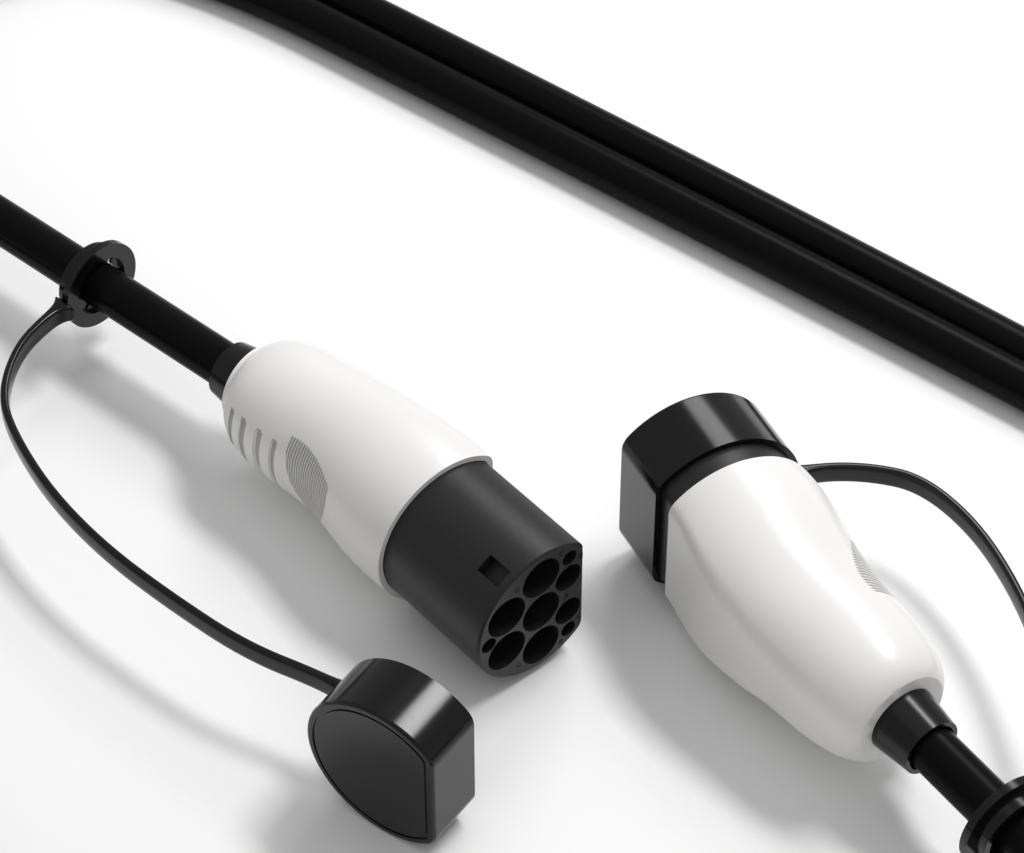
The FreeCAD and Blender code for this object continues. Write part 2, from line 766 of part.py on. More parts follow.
def make_ring(end):
    """The strap's ring: a disc with fingers that slide on the cable, and a collar away from the handle."""
    body = new_body(f"{end}_strap_ring")
    disc = across(body, "disc", "0")
    add_circle(disc, ref("ring_r"))
    add_circle(disc, ref("ring_hole_r"))
    pad(body, disc, ref("ring_thick"))
    collar = across(body, "collar", f"-{ref('ring_collar_long')}")
    add_circle(collar, ref("ring_collar_r"))
    add_circle(collar, ref("ring_hole_r"))
    pad(body, collar, ref("ring_collar_long"))
    web = across(body, "web", "0")
    add_circle(web, ref("ring_hole_r"))
    add_circle(web, f"{ref('cable_r')} + {ref('ring_gap')}")
    pad(body, web, ref("petal_thick"))
    slot = across(body, "slot", ref("petal_thick"))
    inner, outer = f"{ref('cable_r')} - {ref('cut_past')}", f"{ref('ring_hole_r')} - {ref('petal_root')}"
    add_box(slot, inner, outer, f"-{ref('petal_slot')} / 2", f"{ref('petal_slot')} / 2")
    first = pocket(body, slot, ref("petal_thick"))
    pattern = body.newObject("PartDesign::PolarPattern", f"{end}_strap_ring_fingers")
    pattern.Originals = [first]
    pattern.Axis = (origin_part(body, "X_Axis"), [""])
    pattern.Angle = 360.0
    pattern.setExpression("Occurrences", ref("petal_count"))
    body.Tip = pattern
    doc.recompute()
    place_on_rear(body, end, f"-{ref(f'{end}_ring_behind')} - {ref('ring_thick')} / 2")


# Pieces that follow a line of points.

def rounded_path(points):
    """Straight runs between the corner points, joined by tangent arcs; returns the wire and its radii."""
    edges, radii = [], []
    start = points[0]
    for before, corner, after in zip(points, points[1:], points[2:]):
        arriving = (corner - before).normalize()
        leaving = (after - corner).normalize()
        half_turn = arriving.getAngle(leaving) / 2
        reach = 0.45 * min((corner - before).Length, (after - corner).Length)
        arc_start = corner - arriving * reach
        arc_end = corner + leaving * reach
        radius = reach / math.tan(half_turn)
        toward = (leaving - arriving).normalize()
        arc_middle = corner + toward * (radius / math.cos(half_turn) - radius)
        edges.append(Part.LineSegment(start, arc_start).toShape())
        edges.append(Part.Arc(arc_start, arc_middle, arc_end).toShape())
        radii.append(radius)
        start = arc_end
    edges.append(Part.LineSegment(start, points[-1]).toShape())
    return Part.Wire(edges), radii


def tube(points, radius):
    path, radii = rounded_path(points)
    profile = Part.Wire([Part.Circle(points[0], points[1] - points[0], radius).toShape()])
    solid = path.makePipeShell([profile], True, False)
    expected = math.pi * radius**2 * path.Length
    if abs(solid.Volume - expected) > 0.02 * expected:
        raise RuntimeError(f"tube of {solid.Volume:.0f} mm3, but section times length is {expected:.0f}")
    return solid, path.Length, radii


def add_shape(label, shape):
    feature = doc.addObject("Part::Feature", label)
    feature.Label = label
    feature.Shape = shape
    return feature


def in_frame(end, x, y, turn="0"):
    """A placement in the part's frame from expressions for x, y and turn in an end's frame."""
    base = Vector(size(ref(f"{end}_x")), size(ref(f"{end}_y")), size(ref(f"{end}_z")))
    frame = Placement(base, Rotation(Vector(0, 0, 1), size(ref(f"{end}_heading"))))
    return frame.multiply(Placement(Vector(size(x), size(y), 0), Rotation(Vector(0, 0, 1), size(turn))))


def on_rear_axis(end, forward):
    return in_frame(end, *rear_point(end, forward), turn=ref("bend"))


def cable_end(end):
    """How far the jacket's cut end stands ahead of the mouth, just past the clamp."""
    return f"({ledge(end)} + {ref('clamp_long')} + {ref('jacket_past')})"


def make_cable():
    ends = {}
    for end in ENDS:
        stations = (cable_end(end), f"-{ref(f'{end}_straight')}")
        ends[end] = [on_rear_axis(end, forward).Base for forward in stations]
    points = ends["plug"] + [Vector(*point) for point in ROUTE] + ends["connector"][::-1]
    solid, length, radii = tube(points, size(ref("cable_r")))
    print(f"cable: {length:.0f} mm long, bends from {min(radii):.0f} mm")
    add_shape("cable", solid)


def make_wires(end):
    """The cores, from the cable's end inside the handle to the barrels of the contacts."""
    rear_x, rear_y = rear_point(end, cable_end(end))
    back = Placement(Vector(size(rear_x), size(rear_y), 0), Rotation(Vector(0, 0, 1), size(ref("bend"))))
    barrel_x = size(barrel_end(end))
    lead = Vector(size(ref("core_lead")), 0, 0)
    solids = []
    for contact, (y, z) in CONTACTS.items():
        at_barrel = Vector(barrel_x, size(y), size(z))
        at_cable = Vector(0, size(y), size(z)) * size(ref("core_bundle"))
        points = [
            at_barrel,
            at_barrel - lead,
            back.multVec(at_cable + lead),
            back.multVec(at_cable),
        ]
        radius = size(ref(f"{grade(contact)}_wire_r"))
        profile = Part.Wire([Part.Circle(points[0], Vector(-1, 0, 0), radius).toShape()])
        path = Part.makePolygon(points)
        solids.append(path.makePipeShell([profile], True, False, 1))
    wires = add_shape(f"{end}_wires", Part.makeCompound(solids))
    place(wires, end)


def make_strap(end):
    """The flat strap from the ring to the cap, upright in section, at the height of its end."""
    away = Vector(0, -1, 0)
    ring = on_rear_axis(end, f"-{ref(f'{end}_ring_behind')}")
    ring_side = ring.Rotation.multVec(away)
    ring_end = ring.Base + ring_side * size(ref("ring_r"))
    cap = in_frame(*cap_spot(end))
    cap_side = cap.Rotation.multVec(away)
    cap_out = f"{ref(f'{end}_nose_r')} + {ref('cap_gap')} + {ref('cap_wall')}"
    from_edge = f"{ref('strap_thick')} / 2 + {ref('strap_inset')}"
    cap_end = cap.multVec(Vector(size(from_edge), -size(cap_out), 0))
    lead = size(ref("strap_lead"))
    points = [ring_end, ring_end + ring_side * lead]
    points += [Vector(x, y, ring_end.z) for x, y in STRAPS[end]]
    points += [cap_end + cap_side * lead, cap_end]
    path, _ = rounded_path(points)
    thick, high = size(ref("strap_thick")), size(ref("strap_high"))
    start = (points[1] - points[0]).normalize()
    side = start.cross(Vector(0, 0, 1)) * (thick / 2)
    up = Vector(0, 0, high / 2)
    corners = [points[0] + side + up, points[0] - side + up, points[0] - side - up, points[0] + side - up]
    profile = Part.makePolygon(corners + corners[:1])
    add_shape(f"{end}_strap", path.makePipeShell([profile], True, False))


def make_end(end):
    make_handle(end)
    make_nose(end)
    make_nose_seal(end)
    for contact in CONTACTS:
        make_contact(end, contact)
    make_carrier(end)
    make_carrier_screws(end)
    make_gland(end)
    make_clamp(end)
    make_wires(end)
    make_cap(end)
    make_ring(end)
    make_strap(end)


def export_parts():
    doc.recompute()
    for item in doc.Objects:
        if "Invalid" in item.State or "Error" in item.State:
            raise RuntimeError(f"{item.Label} is not up to date: {item.State}")
    os.makedirs("parts", exist_ok=True)
    pieces = [item for item in doc.Objects if item.TypeId in ("PartDesign::Body", "Part::Feature")]
    for piece in pieces:
        shape = piece.Shape
        if shape.isNull() or not shape.isValid() or not shape.Solids:
            raise RuntimeError(f"{piece.Label} is not a valid solid")
        shape.exportStep(f"parts/{piece.Label}.step")
        print(f"{piece.Label}: {len(shape.Solids)} solid, {shape.Volume / 1000:.2f} cm3")


fill_sheet()
for end_name in ENDS:
    make_end(end_name)
make_cable()
export_parts()
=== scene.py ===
# %% [markdown]
# # Electric car charging cable
# The object is a thick black cable with a white handled plug at one end, for the charge point, and
# a white handled connector at the other end, for the car. Each has a dust cap on a strap, and the
# strap's ring rides on the cable. The CAD model holds every rigid piece. Here each piece gets its
# finish, and the cable and the straps get their soft forms.
#
# The frame comes first: it brings the CAD pieces in where they belong.

# %% Load the frame
import math

import bpy
import numpy as np
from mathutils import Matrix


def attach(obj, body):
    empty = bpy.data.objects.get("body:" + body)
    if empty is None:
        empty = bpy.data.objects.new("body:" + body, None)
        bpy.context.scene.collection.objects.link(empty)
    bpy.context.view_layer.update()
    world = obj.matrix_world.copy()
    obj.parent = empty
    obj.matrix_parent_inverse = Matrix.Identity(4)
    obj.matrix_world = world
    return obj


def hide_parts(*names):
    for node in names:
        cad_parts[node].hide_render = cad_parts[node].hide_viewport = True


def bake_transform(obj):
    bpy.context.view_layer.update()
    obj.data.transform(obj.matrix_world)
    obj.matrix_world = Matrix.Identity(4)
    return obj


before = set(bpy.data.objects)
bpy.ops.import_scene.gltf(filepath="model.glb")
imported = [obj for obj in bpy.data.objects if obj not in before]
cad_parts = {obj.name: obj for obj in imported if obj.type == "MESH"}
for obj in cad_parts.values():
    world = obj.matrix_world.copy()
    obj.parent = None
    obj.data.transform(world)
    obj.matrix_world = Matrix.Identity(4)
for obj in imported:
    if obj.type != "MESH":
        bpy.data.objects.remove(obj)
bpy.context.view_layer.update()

print("pieces in the frame:", len(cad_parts))

# %% [markdown]
# ## Where the two ends lie
# Both ends are described in a frame of their own: x points out of the nose, y to the flat side of the
# nose, z up, with the origin in the middle of the handle's rim. Turning a heading angle and adding
# the rim's place brings such points into the model.

# %% Frames of the ends
RIM = {"plug": (-0.0175, -0.0200, 0.0300), "connector": (0.0486, 0.0509, 0.0336)}
HEADING = {"plug": 0.0, "connector": math.radians(166.3)}
NOSE_REACH = {"plug": 0.050, "connector": 0.032}


def heading_turn(end):
    """The matrix that turns a point level by the heading: (x cos - y sin, x sin + y cos, z)."""
    c, s = math.cos(HEADING[end]), math.sin(HEADING[end])
    return np.array([[c, -s, 0], [s, c, 0], [0, 0, 1]])


def from_end(end, points):
    """Points of an end's own frame in the model: turned by the heading, then moved to the rim."""
    return np.asarray(points, dtype=float) @ heading_turn(end).T + np.array(RIM[end])


def into_end(end, points):
    """Points of the model in an end's own frame: moved by the rim, then turned back."""
    return (points - np.array(RIM[end])) @ heading_turn(end)


print("middle of the plug's face:", from_end("plug", [NOSE_REACH["plug"], 0, 0]).round(4))

# %% [markdown]
# ## Camera
# The photograph looks down at 46 degrees from the front right, from over a metre away with a long
# lens, so there is little perspective. The camera is turned by two angles only, tilt and heading.
# A small helper links each new object into the scene, here and in all later cells.

# %% Camera
LOOK_DOWN = math.radians(46.0)
LOOK_ROUND = math.radians(49.5)


def linked(name, data):
    """A new object for a mesh, camera or lamp, linked into the scene."""
    obj = bpy.data.objects.new(name, data)
    bpy.context.scene.collection.objects.link(obj)
    return obj


camera_data = bpy.data.cameras.new("camera")
camera_data.lens = 121.3
camera_data.sensor_width = 36.0
camera_data.clip_start = 0.05
camera_data.clip_end = 20.0
camera = linked("camera", camera_data)
camera.location = (0.6032, -0.5202, 0.9052)
camera.rotation_euler = (math.pi / 2 - LOOK_DOWN, 0.0, LOOK_ROUND)
bpy.context.scene.camera = camera
print("camera height above the floor:", camera.location.z)

# %% [markdown]
# ## The cable
# A charging cable is a heavy rubber hose: it lies in wide, even bends and never kinks. Its way is given
# by the corner points of the CAD route, in two turns on the floor. It starts inside the plug's handle
# and ends inside the connector's.

# %% Route of the cable
CABLE_DIAMETER = 0.0168
ROUTE = [
    (-0.0843, -0.0230, 0.0300),
    (-0.2534, -0.0483, 0.0300),
    (-0.3530, -0.0645, 0.0296),
    (-0.4172, -0.0187, 0.0210),
    (-0.4315, 0.0588, 0.0110),
    (-0.3881, 0.1244, 0.0084),
    (-0.2395, 0.1567, 0.0084),
    (-0.0375, 0.1975, 0.0084),
    (0.1025, 0.2220, 0.0084),
    (0.2467, 0.2389, 0.0084),
    (0.3197, 0.1819, 0.0084),
    (0.3294, 0.0898, 0.0084),
    (0.2245, -0.0600, 0.0084),
    (0.1325, -0.1550, 0.0084),
    (0.0425, -0.2210, 0.0084),
    (-0.0575, -0.2320, 0.0084),
    (-0.1475, -0.1750, 0.0084),
    (-0.2525, -0.1240, 0.0084),
    (-0.3882, -0.0301, 0.0084),
    (-0.4053, 0.0472, 0.0084),
    (-0.3624, 0.1134, 0.0084),
    (-0.1825, 0.1510, 0.0084),
    (0.0125, 0.1908, 0.0084),
    (0.1175, 0.2100, 0.0084),
    (0.2456, 0.2251, 0.0084),
    (0.3085, 0.1685, 0.0125),
    (0.3085, 0.0839, 0.0228),
    (0.2462, 0.0279, 0.0336),
    (0.1625, 0.0355, 0.0336),
    (0.1065, 0.0406, 0.0336),
]
print("corner points of the route:", len(ROUTE))

# %% [markdown]
# ### From corners to a line
# A smooth curve with few control points bends as a hose does, so the line of the cable is a quadratic
# NURBS curve whose control points are the corners. Blender works out the points on it.

# %% Line of the cable


def nurbs_curve(name, corners):
    """A quadratic NURBS curve whose control points are the corners, clamped at both ends."""
    curve = bpy.data.curves.new(name, "CURVE")
    curve.dimensions = "3D"
    spline = curve.splines.new("NURBS")
    spline.points.add(len(corners) - 1)
    spline.points.foreach_set("co", np.c_[np.array(corners), np.ones(len(corners))].ravel())
    spline.order_u = 3
    spline.use_endpoint_u = True
    spline.resolution_u = 16
    return curve


def mesh_points(mesh):
    """The places of a mesh's vertices, one row for each."""
    points = np.empty(len(mesh.vertices) * 3)
    mesh.vertices.foreach_get("co", points)
    return points.reshape(-1, 3)


def curve_points(curve):
    """Points along a curve: the vertices of its mesh while it has no bevel."""
    carrier = bpy.data.objects.new("carrier", curve)
    mesh = bpy.data.meshes.new_from_object(carrier)
    points = mesh_points(mesh)
    bpy.data.meshes.remove(mesh)
    bpy.data.objects.remove(carrier)
    return points


def length_along(line):
    """The distance from the first point of a line to each of its points."""
    return np.r_[0.0, np.cumsum(np.linalg.norm(np.diff(line, axis=0), axis=1))]


def directions(line, along):
    """Two unit directions at each point of a line: along it, and level and square to it."""
    tangent = np.gradient(line, along, axis=0)
    tangent /= np.linalg.norm(tangent, axis=1, keepdims=True)
    side = np.cross(tangent, [0.0, 0.0, 1.0])
    return tangent, side / np.linalg.norm(side, axis=1, keepdims=True)


cable_line = curve_points(nurbs_curve("cable_line", ROUTE))

# %% [markdown]
# ### From rings to a tube
# A bevel on the curve would make the tube at once. Here the tube is worked out ring by ring instead,
# because its UV map can then hold real metres: one way along the cable and the other way round it.
# Two helpers say how rings of points are joined by faces, and what place each face's corner has.

# %% Faces between rings


def ring_faces(rows, rounds):
    """Faces as point numbers: two neighbours of a ring and the same two of the next, then both ends."""
    index = np.arange(rows * rounds).reshape(rows, rounds)
    turn = np.roll(index, -1, axis=1)
    quads = np.stack([index[:-1], turn[:-1], turn[1:], index[1:]], axis=-1).reshape(-1, 4)
    return quads.tolist() + [index[0][::-1].tolist(), index[-1].tolist()]


def ring_uv(along, across, rounds):
    """UV of those faces' corners in metres: the place along the line, and the place round the ring."""
    width = across / rounds
    start = np.arange(rounds) * width
    u = np.stack([along[:-1], along[:-1], along[1:], along[1:]], axis=-1)
    v = np.stack([start, start + width, start + width, start], axis=-1)
    u = u[:, None].repeat(rounds, axis=1)
    v = v[None].repeat(len(along) - 1, axis=0)
    ends = np.zeros((2 * rounds, 2))
    return np.r_[np.stack([u, v], axis=-1).reshape(-1, 2), ends]


print("faces of a tube of 3 rings with 8 points each:", len(ring_faces(3, 8)))

# %% [markdown]
# The tube follows the line with a ring at each of its points. The jacket's pattern then follows the
# cable through every bend.

# %% Cable


def tube_mesh(name, points, uv=None):
    """A closed tube through rings of points, smooth along its side and flat at both ends."""
    faces = ring_faces(*points.shape[:2])
    mesh = bpy.data.meshes.new(name)
    mesh.from_pydata(points.reshape(-1, 3), [], faces)
    if uv is not None:
        mesh.uv_layers.new(name="metres").data.foreach_set("uv", uv.ravel())
    mesh.update()
    smooth = np.ones(len(faces), dtype=bool)
    smooth[-2:] = False
    mesh.polygons.foreach_set("use_smooth", smooth)
    return linked(name, mesh)


def round_tube(name, line, radius, rounds=32):
    """Rings of one radius: line + radius * (cos(a) * side + sin(a) * rise), both square to the line."""
    along = length_along(line)
    tangent, side = directions(line, along)
    rise = np.cross(side, tangent)
    angle = np.linspace(0, 2 * np.pi, rounds, endpoint=False)[:, None]
    points = line[:, None] + radius * (np.cos(angle) * side[:, None] + np.sin(angle) * rise[:, None])
    return tube_mesh(name, points, ring_uv(along, 2 * np.pi * radius, rounds))


cable = round_tube("charging_lead", cable_line, CABLE_DIAMETER / 2)
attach(cable, "cable_and_ends")
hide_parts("cable")
print("faces of the cable:", len(cable.data.polygons))

# %% [markdown]
# ## Fuller handles
# The real handles are a little fuller behind the waist than the CAD solids, the plug's ends sooner,
# and its gland nut is shorter. Each is a moulding whose surface is already right in its parts, so
# nothing is built anew: the points of the CAD piece are moved. Every point knows its station, which is
# its distance behind the rim along the bent middle line. A table says how far each station moves and
# how much the section grows there, and the points follow it smoothly.

# %% Tables of the handles
BEND = math.radians(8.5)
PIVOT = {"plug": 0.0464, "connector": 0.0340}
# station, shift, growth of the round side, growth of the flat side, all in millimetres
FULLER = {
    "plug": [
        (0.0, 0.0, 0.0, 0.0),
        (8.0, 0.0, 0.0, 0.2),
        (27.0, -1.0, 1.0, 0.9),
        (50.0, -3.0, 1.6, 1.4),
        (72.0, -4.5, 1.6, 1.1),
        (84.0, -2.6, 1.7, 1.3),
        (93.0, -3.0, 2.3, 2.2),
        (100.0, -4.5, 2.9, 2.8),
        (108.0, -8.5, 0.9, 0.9),
        (124.5, -14.5, 0.0, 0.0),
    ],
    "connector": [
        (0.0, 0.0, 0.0, 0.0),
        (13.0, 0.0, 0.0, 0.2),
        (31.0, 0.0, 0.3, 1.2),
        (48.0, 0.0, 0.6, 2.2),
        (64.0, 0.0, 0.6, 1.4),
        (76.0, 0.0, 0.2, 0.8),
        (86.0, 0.0, 0.0, 0.3),
        (98.2, 0.0, 0.0, 0.0),
        (114.7, -1.5, 0.0, 0.0),
    ],
}
SHIFT, ROUND_GROWTH, FLAT_GROWTH = 1, 2, 3


def between_rows(end, column, station):
    """A column of the table: straight lines between its rows, averaged over a window of 10 mm."""
    rows = np.array(FULLER[end]) / 1000
    grid = np.arange(-0.05, 0.20, 0.00025)
    window = np.hanning(41) / np.hanning(41).sum()
    straight = np.interp(grid, rows[:, 0], rows[:, column])
    return np.interp(station, grid, np.convolve(straight, window, "same"))


for end in RIM:
    waist = between_rows(end, ROUND_GROWTH, np.array([0.050]))
    print(end, "growth 50 mm behind the rim, in millimetres:", (waist * 1000).round(2))

# %% [markdown]
# A growth is laid on in full where a point lies on the outer wall, and fades to nothing towards the
# middle, so the bore and the thread keep their size. The middle line is straight, then bent by 8.5
# degrees about the pivot. The share w of the bent frame rises smoothly round the pivot.

# %% Where a point moves
BLEND = 0.016
BORE_RADIUS = 0.0125
BORE_FADE = 0.003
SMALLEST = 1e-6


def ease(t):
    """0 below 0, 1 above 1, and 3t^2 - 2t^3 between."""
    t = np.clip(t, 0, 1)
    return t * t * (3 - 2 * t)


def fuller(end, points):
    """Moved points: point - shift * forward + growth * outward, by the station of each point.

    In the end's frame forward is (cos w*bend, sin w*bend, 0). The station is the distance from the rim
    to the foot on the middle line. The growth is that of the flat side towards +y, else of the round.
    """
    x, y, z = into_end(end, points).T
    pivot = PIVOT[end]
    w = ease((-x - pivot + BLEND) / (2 * BLEND))
    ahead = (x + pivot) * math.cos(BEND) + y * math.sin(BEND)
    aside = y * math.cos(BEND) - (x + pivot) * math.sin(BEND)
    station = (1 - w) * -x + w * (pivot - ahead)
    aside = (1 - w) * y + w * aside
    radius = np.hypot(aside, z)
    outward = np.stack([aside, z], axis=-1) / np.maximum(radius, SMALLEST)[:, None]
    flat_share = ease(outward[:, 0] * 1.4 - 0.2)
    growth = between_rows(end, ROUND_GROWTH, station) * (1 - flat_share)
    growth += between_rows(end, FLAT_GROWTH, station) * flat_share
    growth *= ease((radius - BORE_RADIUS) / BORE_FADE)
    shift = between_rows(end, SHIFT, station)
    turn_c, turn_s = np.cos(w * BEND), np.sin(w * BEND)
    x = x - shift * turn_c - growth * outward[:, 0] * turn_s
    y = y - shift * turn_s + growth * outward[:, 0] * turn_c
    return from_end(end, np.stack([x, y, z + growth * outward[:, 1]], axis=-1))


top = from_end("plug", [[-0.050, 0.0, 0.030]])
print("a point on the plug's top rises by:", (fuller("plug", top) - top).round(4))

# %% [markdown]
# A CAD piece comes in as loose triangles. Points at one place are made one point first, so that the
# surface is closed and can be shaded smoothly. The moved copy takes the piece's place in view.

# %% Fuller copies of the pieces
REAR_PIECES = {"handle": "handle", "gland_nut": "gland", "gland_seal": "seal"}
SHARP_EDGE = math.radians(32)


def merged(node):
    """Points and triangles of a CAD piece, where points at one place are made one point."""
    mesh = node.data
    corners = np.empty(len(mesh.loops), dtype=np.int32)
    mesh.loops.foreach_get("vertex_index", corners)
    points, same = np.unique(mesh_points(mesh).round(7), axis=0, return_inverse=True)
    first, second, third = same.reshape(-1)[corners].reshape(-1, 3).T
    kept = (first != second) & (second != third) & (third != first)
    return points, np.stack([first, second, third], axis=-1)[kept]


def reshaped(end, piece):
    """The fuller copy of a CAD piece, which takes its place in view and rides with the cable."""
    points, triangles = merged(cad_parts[f"{end}_{piece}"])
    mesh = bpy.data.meshes.new(f"{end}_{piece}_full")
    mesh.from_pydata(fuller(end, points), [], triangles.tolist())
    mesh.polygons.foreach_set("use_smooth", np.ones(len(mesh.polygons), dtype=bool))
    mesh.set_sharp_from_angle(angle=SHARP_EDGE)
    mesh.update()
    copy = linked(f"{end}_{piece}_full", mesh)
    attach(copy, "cable_and_ends")
    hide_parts(f"{end}_{piece}")
    return copy


rear = {(end, piece): reshaped(end, piece) for end in RIM for piece, slot in REAR_PIECES.items()}
for (end, piece), copy in rear.items():
    print(end, piece, "triangles:", len(copy.data.polygons))

# %% [markdown]
# ## Materials
# Every finish starts from the same base: one Principled shader, the Object coordinates, and a fine
# grain that bumps the surface a little. Moulded plastic and rubber are never perfectly even, so each
# finish also gets a faint cloud in its roughness. The function below builds that base, and each
# material then adds what is its own. The dull rubber of the seals needs nothing more.

# %% A base for moulded finishes


def moulded(name, colour, roughness, cloud=0.06, grain=0.15, grain_size=0.0004, **sockets):
    """Principled plastic or rubber: roughness varies by a low noise, height by a high one.

    roughness = base + cloud * (noise - 0.5); bump height = grain * noise at the grain size.
    """
    material = bpy.data.materials.new(name)
    material.use_nodes = True
    nodes, links = material.node_tree.nodes, material.node_tree.links
    shader = nodes["Principled BSDF"]
    shader.inputs["Base Color"].default_value = (*colour, 1.0)
    for socket, value in sockets.items():
        shader.inputs[socket.replace("_", " ")].default_value = value
    place = nodes.new("ShaderNodeTexCoord")
    low = nodes.new("ShaderNodeTexNoise")
    low.inputs["Scale"].default_value = 60.0
    low.inputs["Detail"].default_value = 4.0
    spread = nodes.new("ShaderNodeMapRange")
    spread.inputs["To Min"].default_value = roughness - cloud / 2
    spread.inputs["To Max"].default_value = roughness + cloud / 2
    fine = nodes.new("ShaderNodeTexNoise")
    fine.inputs["Scale"].default_value = 1.0 / grain_size
    fine.inputs["Detail"].default_value = 2.0
    bump = nodes.new("ShaderNodeBump")
    bump.name = "grain"
    bump.inputs["Strength"].default_value = grain
    bump.inputs["Distance"].default_value = 0.0001
    links.new(place.outputs["Object"], low.inputs["Vector"])
    links.new(place.outputs["Object"], fine.inputs["Vector"])
    links.new(low.outputs["Fac"], spread.inputs["Value"])
    links.new(spread.outputs["Result"], shader.inputs["Roughness"])
    links.new(fine.outputs["Fac"], bump.inputs["Height"])
    links.new(bump.outputs["Normal"], shader.inputs["Normal"])
    return material


seal_rubber = moulded("seal_rubber", (0.006, 0.006, 0.006), 0.55)
print("first finish:", seal_rubber.name, "with nodes:", len(seal_rubber.node_tree.nodes))

# %% [markdown]
# ### Black pieces
# The noses are glass-filled nylon, dark grey with a fine spark-eroded grain. Caps, straps and rings
# are soft rubber with a satin sheen. The gland nuts are hard black plastic.

# %% Black finishes
SOOT = (0.004, 0.004, 0.0045)
nose_black = moulded("nose_nylon", (0.012, 0.012, 0.013), 0.40, grain=0.30, Specular_IOR_Level=0.35)
cap_rubber = moulded("cap_rubber", SOOT, 0.16, grain=0.03, Specular_IOR_Level=0.30)
gland_black = moulded("gland_plastic", SOOT, 0.22, grain=0.05, Specular_IOR_Level=0.30)
for finish in (nose_black, cap_rubber, gland_black):
    print("black finish:", finish.name)

# %% [markdown]
# The jacket comes out of a round die, which draws fine lines along it, so its noise is stretched on
# the UV map. A lead this thick is dull, and mirrors little of the floor.

# %% Jacket of the cable


def draw_lines(material, lines_per_metre=1800.0, stretch=0.02, depth=0.12):
    """Fine lines along a drawn hose: noise on the UV map, slow along the length and quick across it."""
    nodes, links = material.node_tree.nodes, material.node_tree.links
    place = nodes.new("ShaderNodeUVMap")
    place.uv_map = "metres"
    scale = nodes.new("ShaderNodeMapping")
    scale.inputs["Scale"].default_value = (lines_per_metre * stretch, lines_per_metre, 1.0)
    lines = nodes.new("ShaderNodeTexNoise")
    lines.inputs["Scale"].default_value = 1.0
    lines.inputs["Detail"].default_value = 3.0
    bump = nodes.new("ShaderNodeBump")
    bump.inputs["Strength"].default_value = depth
    bump.inputs["Distance"].default_value = 0.00005
    links.new(place.outputs["UV"], scale.inputs["Vector"])
    links.new(scale.outputs["Vector"], lines.inputs["Vector"])
    links.new(lines.outputs["Fac"], bump.inputs["Height"])
    links.new(bump.outputs["Normal"], nodes["grain"].inputs["Normal"])


def dress(obj, material):
    """Gives an object one material."""
    obj.data.materials.clear()
    obj.data.materials.append(material)


jacket_rubber = moulded("jacket_rubber", SOOT, 0.27, grain=0.05, Specular_IOR_Level=0.05)
draw_lines(jacket_rubber)
dress(cable, jacket_rubber)
print("the cable wears:", cable.data.materials[0].name)

# %% [markdown]
# ### White handles
# The handles are polished white plastic with a slight warm grey. Parts of their finish depend on the
# place on the handle. A Mapping node brings the Object coordinates into the end's own frame, and Math
# nodes work out the rest. Two helpers add such nodes.

# %% Formulas in nodes


def formula(material):
    """Gives a function that adds one Math node to a material and returns the node's output."""
    nodes, links = material.node_tree.nodes, material.node_tree.links

    def step(operation, *values):
        """One operation on sockets or numbers."""
        node = nodes.new("ShaderNodeMath")
        node.operation = operation
        for socket, value in zip(node.inputs, values):
            if isinstance(value, bpy.types.NodeSocket):
                links.new(value, socket)
            else:
                socket.default_value = value
        return node.outputs[0]

    return step


def own_axes(material, origin, turn, size=(1.0, 1.0, 1.0)):
    """The x, y and z of the Object coordinates in a frame that lies at an origin, turned about z."""
    nodes, links = material.node_tree.nodes, material.node_tree.links
    place = nodes.new("ShaderNodeTexCoord")
    local = nodes.new("ShaderNodeMapping")
    local.vector_type = "TEXTURE"
    local.inputs["Location"].default_value = origin
    local.inputs["Rotation"].default_value = (0.0, 0.0, turn)
    local.inputs["Scale"].default_value = size
    parts = nodes.new("ShaderNodeSeparateXYZ")
    links.new(place.outputs["Object"], local.inputs["Vector"])
    links.new(local.outputs["Vector"], parts.inputs["Vector"])
    return parts.outputs


print("frames for the handles' finish lie at:", RIM)

# %% [markdown]
# Under the waist, where the fingers close, a leaf-shaped pad has about twenty fine ribs. Ribs this
# fine are cheaper as a bump than as a mesh, and their outline stays crisp. Three parabolas bound the
# pad, and a sine makes the ribs, bent a little as the pad's rear edge is.

# %% Ribbed pad
PAD_SIZE = {"plug": (1.0, 1.0, 1.0), "connector": (1.12, 1.0, 1.45)}
# reach in metres, curvature and middle of the parabolas that bound the pad
REAR_EDGE = (0.0564, 17.5, 0.0150)
FRONT_EDGE = (0.0310, 25.0, 0.0062)
TOP_EDGE = (0.0163, 12.0, 0.0500)
SIDE_LIMIT = 0.005
RIB_PITCH = 0.00125
RIB_BOW = 7.0
RIB_DEPTH = 0.0004
PAD_BORDER = 0.0004


